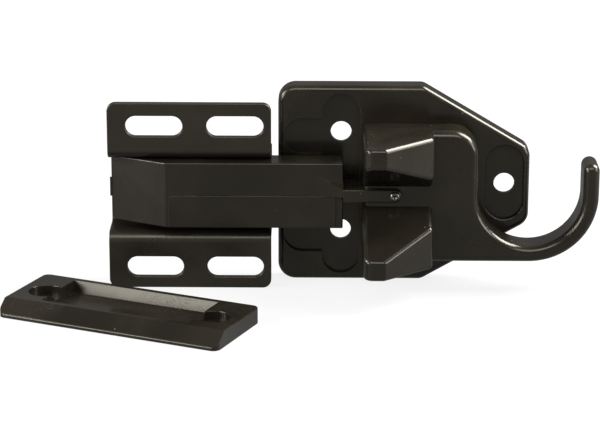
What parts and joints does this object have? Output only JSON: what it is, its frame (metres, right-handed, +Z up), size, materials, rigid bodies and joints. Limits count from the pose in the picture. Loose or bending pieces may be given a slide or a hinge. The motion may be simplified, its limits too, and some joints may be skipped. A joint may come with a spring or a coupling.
{
  "type": "screen door latch",
  "caption": "Sliding spring bolt latch for a screen door, with a finger-pull handle and hook, a slotted channel bracket and a bevelled strike.",
  "frame": {"origin": "on the plane of the base plate's back face, level with the handle's slide, in line with the two left screw holes", "axes": "+X from the bolt's nose to the handle's hook, +Z up, the room at -Y and the door at +Y"},
  "size_m": [0.1494, 0.0599, 0.0514],
  "materials": {
    "black_plastic": "glossy moulded",
    "black_paint": "semi-gloss paint on sheet steel",
    "zinc_steel": "zinc plated",
    "pin_steel": "blackened steel",
    "shoe_plastic": "matt moulded"
  },
  "bodies": {
    "base": {"base_plate": "black_plastic", "bracket": "black_paint", "strike": "black_plastic", "return_springs": "zinc_steel"},
    "slider": {"handle": "black_plastic", "bolt": "black_plastic", "tail_pin": "pin_steel", "slide_shoe": "shoe_plastic", "shoe_screws": "zinc_steel"}
  },
  "joints": [
    {"name": "bolt_slide", "type": "slide", "parent": "base", "child": "slider", "axis": [1, 0, 0], "range_m": [0, 0.013], "stiffness_N_per_m": 300, "springref_m": -0.0067, "deforming": ["return_springs"]}
  ]
}
